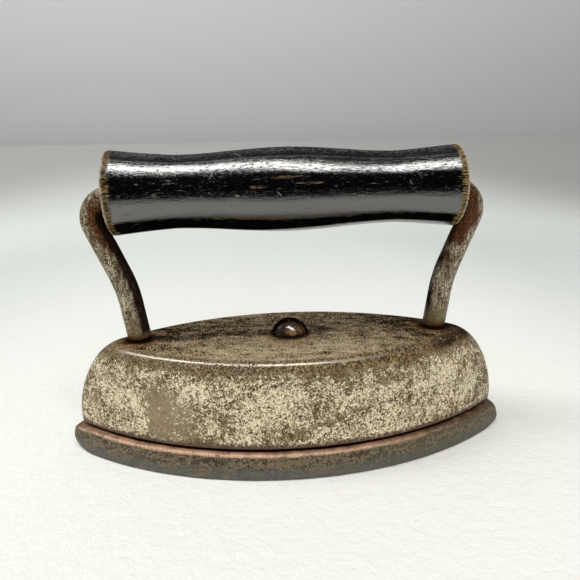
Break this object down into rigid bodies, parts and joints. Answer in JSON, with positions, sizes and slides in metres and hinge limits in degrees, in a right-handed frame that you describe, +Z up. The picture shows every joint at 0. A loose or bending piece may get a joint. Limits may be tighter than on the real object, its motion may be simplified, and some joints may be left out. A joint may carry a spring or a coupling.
{
  "type": "toy flat iron",
  "caption": "Child's flat iron: a pointed cast core under a lift-off sheet hood, with a turned wooden grip on a bent rod.",
  "frame": {"origin": "centre of the sole's ground face, on the surface the iron stands on", "axes": "+X along the iron between its two points, +Y across it, +Z up through the grip"},
  "size_m": [0.096, 0.038, 0.0623],
  "materials": {
    "cast_core": "dark, rusty on the ledge, satin",
    "plated_sheet": "worn plating, speckled cream and brown, satin",
    "board": "pale fibrous board, matte",
    "plain_steel": "plain steel, dull",
    "spring_steel": "blued spring steel, satin",
    "rivet_steel": "dark brown patina, polished by wear",
    "rod_steel": "worn steel with brown rust patches, satin",
    "painted_wood": "gloss black paint, grain showing, worn to bare wood at the rims"
  },
  "bodies": {
    "core": {"sole_core": "cast_core", "catch_post": "plain_steel"},
    "hood": {"hood_shell": "plated_sheet", "insulating_board": "board", "liner_plate": "plain_steel", "spring_clip": "spring_steel", "hood_rivet": "rivet_steel", "handle_rod": "rod_steel"},
    "grip": {"wood_grip": "painted_wood"}
  },
  "joints": [
    {"name": "hood_lift", "type": "slide", "parent": "core", "child": "hood", "axis": [0, 0, 1], "range_m": [0, 0.03]},
    {"name": "grip_spin", "type": "hinge", "parent": "hood", "child": "grip", "pos_m": [0, 0, 0.05395], "axis": [1, 0, 0], "continuous": true}
  ]
}
